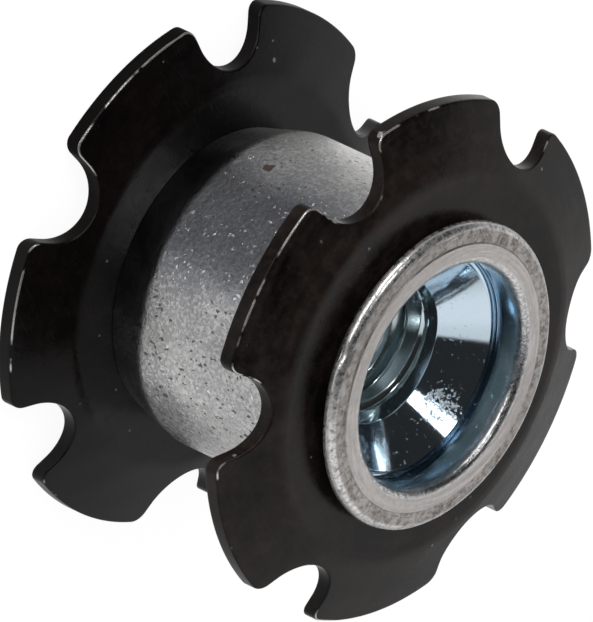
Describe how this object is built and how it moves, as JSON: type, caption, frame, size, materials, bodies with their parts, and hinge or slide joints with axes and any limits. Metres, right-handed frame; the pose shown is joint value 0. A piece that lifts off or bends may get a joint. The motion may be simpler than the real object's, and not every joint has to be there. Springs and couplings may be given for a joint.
{
  "type": "star nut",
  "caption": "Threaded steel barrel with a spring-steel star washer clamped under a swaged lip at each end; it grips the bore of a steerer tube and anchors a bolt.",
  "frame": {"origin": "centre of the base, level with the tips of the rear star's tabs", "axes": "+Z along the barrel's axis, towards the end whose star bulges outwards; +X through the middle of a tab of the front star"},
  "size_m": [0.023, 0.023, 0.0144],
  "materials": {
    "zinc_steel": "zinc plate, dull and scratched outside, bright blue-white inside the mouths",
    "black_steel": "black oxide on spring steel, brown in places, worn bright along the edges"
  },
  "bodies": {
    "root": {"barrel": "zinc_steel", "star_front": "black_steel", "star_rear": "black_steel"}
  },
  "joints": []
}
